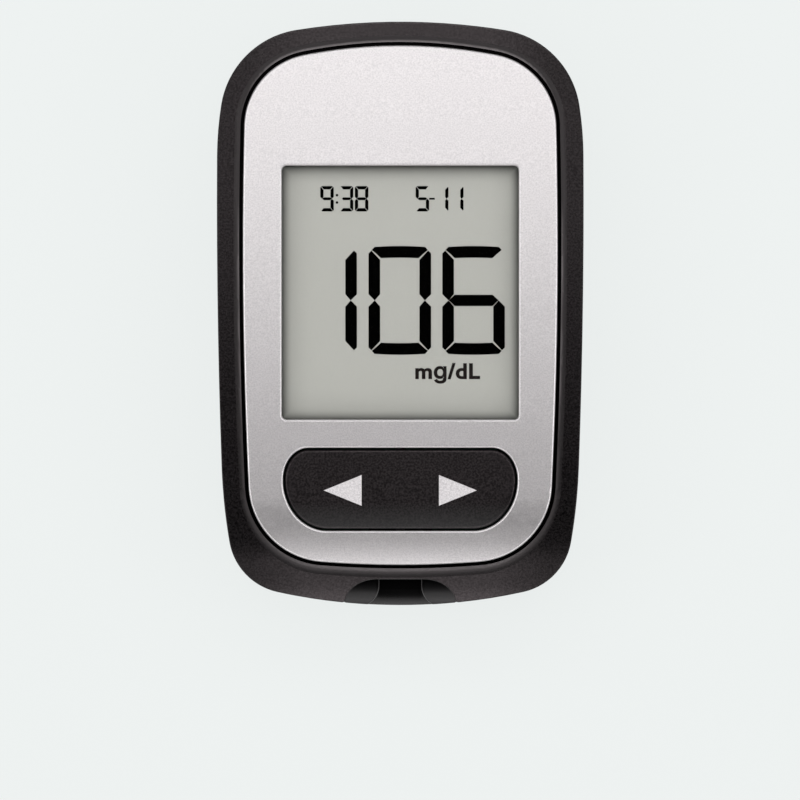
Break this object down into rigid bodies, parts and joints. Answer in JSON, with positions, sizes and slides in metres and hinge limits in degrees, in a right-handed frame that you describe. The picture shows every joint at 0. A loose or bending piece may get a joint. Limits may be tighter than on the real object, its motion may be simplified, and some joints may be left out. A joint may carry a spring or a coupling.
{
  "type": "blood glucose meter",
  "caption": "Pocket blood glucose meter with a large segment display, a two-way rocker key, a test strip port at one end and a battery door in the back.",
  "frame": {"origin": "middle of the flat back face, on which the meter rests", "axes": "+Z out of the display, +Y towards the top end away from the strip port, +X to the right as the display is read"},
  "size_m": [0.0484, 0.0771, 0.0153],
  "materials": {
    "case_black": "fine-textured black moulding",
    "silver_paint": "satin silver metallic paint on a plastic plate",
    "key_black": "fine-textured black key with printed arrows",
    "guide_grey": "smooth dark grey moulding",
    "adhesive": "black double-sided adhesive",
    "clear_pane": "clear polished pane",
    "lcd_film": "polariser film",
    "lcd_glass": "thin display glass",
    "lcd_reflector": "matt grey-green reflector film",
    "elastomer": "soft striped elastomer",
    "holder_white": "natural white moulding",
    "board_green": "solder resist on laminate",
    "steel": "zinc-plated steel",
    "spring_steel": "bright spring strip",
    "connector_black": "black connector moulding",
    "gold_contact": "gold-plated spring contacts",
    "chip_black": "moulded package",
    "shield_can": "tinned shield",
    "chip_tan": "ceramic chips",
    "cell_steel": "nickel-plated can"
  },
  "bodies": {
    "meter_body": {"front_frame": "case_black", "rear_cover": "case_black", "fascia": "silver_paint", "fascia_adhesive": "adhesive", "strip_guide": "guide_grey", "display_window": "clear_pane", "window_gasket": "adhesive", "lcd_front_polariser": "lcd_film", "lcd_front_glass": "lcd_glass", "lcd_rear_glass": "lcd_glass", "lcd_reflector": "lcd_reflector", "elastomer_connector": "elastomer", "lcd_holder": "holder_white", "circuit_board": "board_green", "board_screws": "steel", "left_switch_dome": "spring_steel", "right_switch_dome": "spring_steel", "strip_connector": "connector_black", "strip_contacts": "gold_contact", "microcontroller": "chip_black", "radio_module": "shield_can", "sounder": "chip_black", "clock_crystal": "shield_can", "small_components": "chip_tan", "data_socket": "shield_can", "data_socket_tongue": "connector_black", "coin_cell_lower": "cell_steel", "coin_cell_upper": "cell_steel", "negative_contact_lower": "spring_steel", "negative_contact_upper": "spring_steel", "positive_contact_lower": "spring_steel", "positive_contact_upper": "spring_steel"},
    "rocker_key": {"rocker_key": "key_black"},
    "battery_door": {"battery_door": "case_black", "door_latch": "case_black"}
  },
  "joints": [
    {"name": "key_rock", "type": "hinge", "parent": "meter_body", "child": "rocker_key", "pos_m": [0, -0.02318, 0.0112], "axis": [0, 1, 0], "range_deg": [-2.3, 2.3], "stiffness_Nm_per_rad": 0.04, "deforming": ["right_switch_dome", "left_switch_dome"]},
    {"name": "door_open", "type": "hinge", "parent": "meter_body", "child": "battery_door", "pos_m": [0, -0.01385, 0], "axis": [-1, 0, 0], "range_deg": [0, 75], "deforming": ["door_latch"]}
  ]
}
